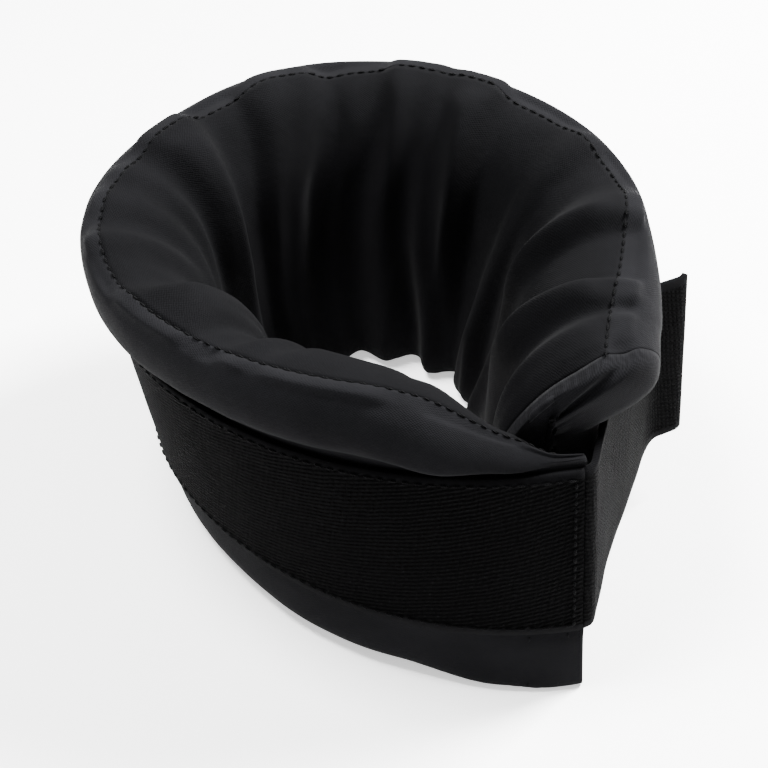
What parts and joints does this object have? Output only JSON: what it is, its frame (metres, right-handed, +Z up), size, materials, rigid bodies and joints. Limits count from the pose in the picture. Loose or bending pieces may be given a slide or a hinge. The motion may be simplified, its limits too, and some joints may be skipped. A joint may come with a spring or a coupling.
{
  "type": "cervical collar",
  "caption": "Soft padded neck collar: a foam band in black woven cloth with a gathered lining, a loop tape round the outside and a strap that closes it.",
  "frame": {"origin": "centre of the overall box on the plane the collar stands on", "axes": "+Z up from the lower edge to the rim, -Y towards the front wall, the closure and its strap at the front on +X"},
  "size_m": [0.1808, 0.1852, 0.097],
  "materials": {
    "foam": "soft open-cell foam",
    "cover_cloth": "matt black plain-woven cotton",
    "lining_cloth": "matt black plain-woven cotton, gathered",
    "loop_tape": "black woven tape with rows of fine loops",
    "hook_tape": "black woven tape with rows of stiff hooks",
    "thread": "black polyester sewing thread"
  },
  "bodies": {
    "band_left": {"foam_core_left": "foam", "outer_cover_left": "cover_cloth", "inner_lining_left": "lining_cloth", "loop_tape_left": "loop_tape", "rim_seam_stitching_left": "thread", "tape_upper_stitching_left": "thread", "tape_lower_stitching_left": "thread", "tape_end_stitching": "thread", "flap_inner_stitching": "thread", "flap_outer_stitching": "thread"},
    "band_right": {"foam_core_right": "foam", "outer_cover_right": "cover_cloth", "inner_lining_right": "lining_cloth", "end_panel": "lining_cloth", "loop_tape_right": "loop_tape", "rim_seam_stitching_right": "thread", "tape_upper_stitching_right": "thread", "tape_lower_stitching_right": "thread"},
    "strap": {"closure_strap": "loop_tape", "hook_patch": "hook_tape"}
  },
  "joints": [
    {"name": "strap_peel", "type": "hinge", "parent": "band_left", "child": "strap", "pos_m": [0.0529, -0.07866, 0.04742], "axis": [0.0556, -0.2614, -0.9636], "range_deg": [0, 126]},
    {"name": "nape_flex", "type": "hinge", "parent": "band_left", "child": "band_right", "pos_m": [-0.00723, 0.09258, 0], "axis": [0, 0, 1], "range_deg": [0, 22]}
  ],
  "couplings": [
    {"joint": "nape_flex", "follows": "strap_peel", "ratio": 0.16667}
  ]
}
